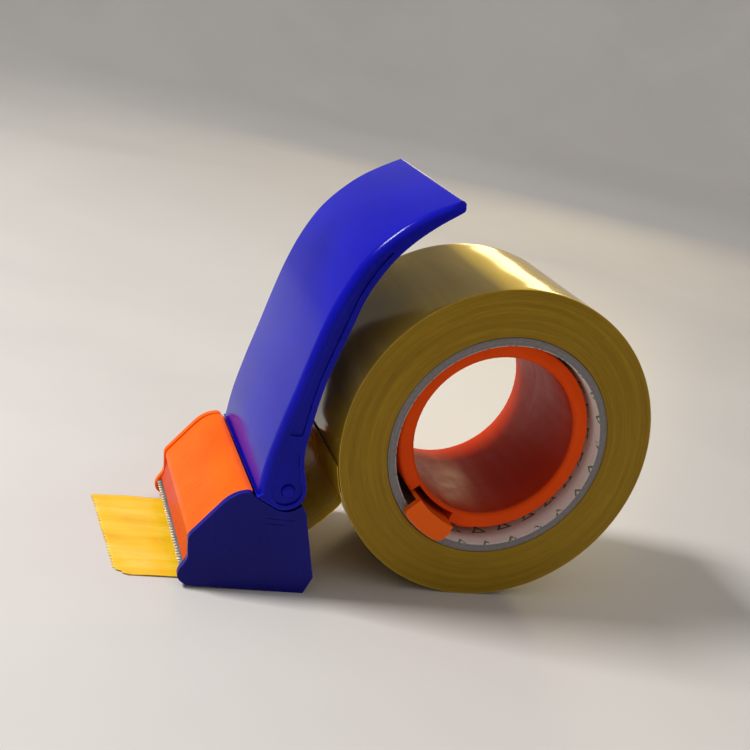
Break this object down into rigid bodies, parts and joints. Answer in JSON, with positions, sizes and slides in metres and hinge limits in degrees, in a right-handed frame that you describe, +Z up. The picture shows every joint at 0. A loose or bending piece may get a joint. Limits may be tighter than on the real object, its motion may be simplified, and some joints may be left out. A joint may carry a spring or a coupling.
{
  "type": "packing tape dispenser",
  "caption": "Hand-held packing tape dispenser: a hub that carries a roll of tape, a guide roller, a serrated cutter under a cover and a curved upright handle.",
  "frame": {"origin": "on the table, under the middle of the object's box", "axes": "+X from the blade to the roll of tape, +Y along the roll's axis to the side with the arm, +Z up"},
  "size_m": [0.19, 0.0735, 0.1443],
  "materials": {
    "orange_plastic": "moulded plastic, satin gloss",
    "blue_plastic": "moulded plastic, glossy",
    "blade_steel": "bare steel strip with pressed teeth",
    "screw_steel": "zinc plated steel",
    "core_paper": "wound paperboard with a pale printed liner",
    "wound_tape": "many layers of clear yellow-brown film, glossy on the tread",
    "tape_film": "one layer of yellow film with adhesive under it"
  },
  "bodies": {
    "body": {"side_frame": "orange_plastic", "near_side_plate": "blue_plastic", "top_cover": "orange_plastic", "blade": "blade_steel", "blade_clamp": "orange_plastic", "blade_screw_1": "screw_steel", "blade_screw_2": "screw_steel", "body_screw_1": "screw_steel", "body_screw_2": "screw_steel", "roller_axle": "screw_steel", "hub_drum": "orange_plastic", "hub_screw_1": "screw_steel", "hub_screw_2": "screw_steel", "hub_screw_3": "screw_steel", "tape_strip": "tape_film", "handle_pin_near": "blue_plastic", "handle_pin_far": "blue_plastic"},
    "roll": {"tape_core": "core_paper", "tape_roll": "wound_tape"},
    "guide": {"guide_roller": "blue_plastic"},
    "handle": {"handle_shell": "blue_plastic"},
    "latch": {"core_latch": "orange_plastic"}
  },
  "joints": [
    {"name": "roll_spin", "type": "hinge", "parent": "body", "child": "roll", "pos_m": [0.0365, 0, 0.0585], "axis": [0, 1, 0], "continuous": true},
    {"name": "guide_roller_spin", "type": "hinge", "parent": "body", "child": "guide", "pos_m": [-0.0505, 0, 0.0072], "axis": [0, 1, 0], "continuous": true},
    {"name": "handle_pivot", "type": "hinge", "parent": "body", "child": "handle", "pos_m": [-0.0382, 0, 0.038], "axis": [0, 1, 0], "range_deg": [0, 12]},
    {"name": "latch_flex", "type": "hinge", "parent": "body", "child": "latch", "pos_m": [0.01672, -0.006, 0.03142], "axis": [-0.8387, 0, 0.5446], "range_deg": [0, 7], "stiffness_Nm_per_rad": 1}
  ],
  "couplings": [
    {"joint": "guide_roller_spin", "follows": "roll_spin", "ratio": -11.7}
  ]
}
